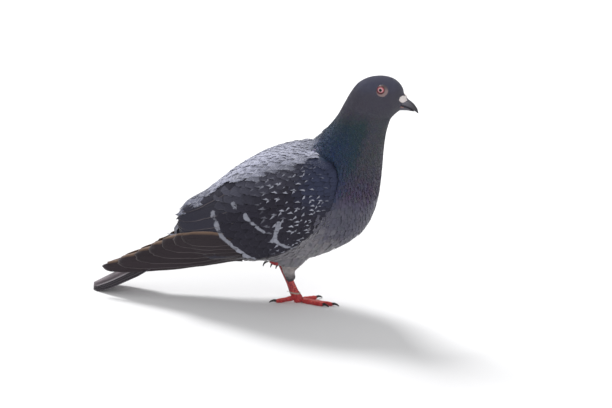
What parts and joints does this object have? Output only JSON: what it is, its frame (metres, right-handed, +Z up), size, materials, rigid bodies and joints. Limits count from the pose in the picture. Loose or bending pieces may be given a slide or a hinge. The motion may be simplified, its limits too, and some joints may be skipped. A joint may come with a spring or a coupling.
{
  "type": "pigeon",
  "caption": "Life-size feral pigeon with dark chequered wings, standing on one leg with the other foot drawn up and its tail tip on the ground.",
  "frame": {"origin": "on the floor, under the ball of the standing left foot", "axes": "+X forward, from tail to bill; +Y to the bird's left; +Z up"},
  "size_m": [0.3009, 0.1024, 0.22],
  "materials": {
    "body_feathers": "soft blue-grey body feathers",
    "neck_feathers": "glossy green and purple neck feathers",
    "head_feathers": "short slate-grey feathers",
    "wing_feathers": "dark blue-grey coverts with pale flecks",
    "flight_feathers": "smooth dark brownish flight feathers",
    "tail_feathers": "grey tail feathers with a dark end band",
    "thigh_feathers": "short pale grey feathers",
    "bill_horn": "dark horn, half matt",
    "cere_skin": "powdery white skin",
    "eye_orange": "wet, orange-pink iris with a black pupil",
    "foot_skin": "scaly raspberry-red skin",
    "claw_horn": "black horn, half matt",
    "thread": "pale twisted thread"
  },
  "bodies": {
    "root": {"trunk": "body_feathers", "neck": "neck_feathers", "head": "head_feathers", "eye_left": "eye_orange", "cere_left": "cere_skin", "wing_left": "wing_feathers", "wing_tip_left": "flight_feathers", "eye_right": "eye_orange", "cere_right": "cere_skin", "wing_right": "wing_feathers", "wing_tip_right": "flight_feathers", "upper_bill": "bill_horn", "lower_bill": "bill_horn", "tail": "tail_feathers", "thigh_left": "thigh_feathers", "shank_left": "foot_skin", "thread_left": "thread", "toe_left_hallux": "foot_skin", "claw_left_hallux": "claw_horn", "toe_left_inner": "foot_skin", "claw_left_inner": "claw_horn", "toe_left_middle": "foot_skin", "claw_left_middle": "claw_horn", "toe_left_outer": "foot_skin", "claw_left_outer": "claw_horn", "toe_right_inner": "foot_skin", "claw_right_inner": "claw_horn", "toe_right_middle": "foot_skin", "claw_right_middle": "claw_horn", "toe_right_outer": "foot_skin", "claw_right_outer": "claw_horn"}
  },
  "joints": []
}
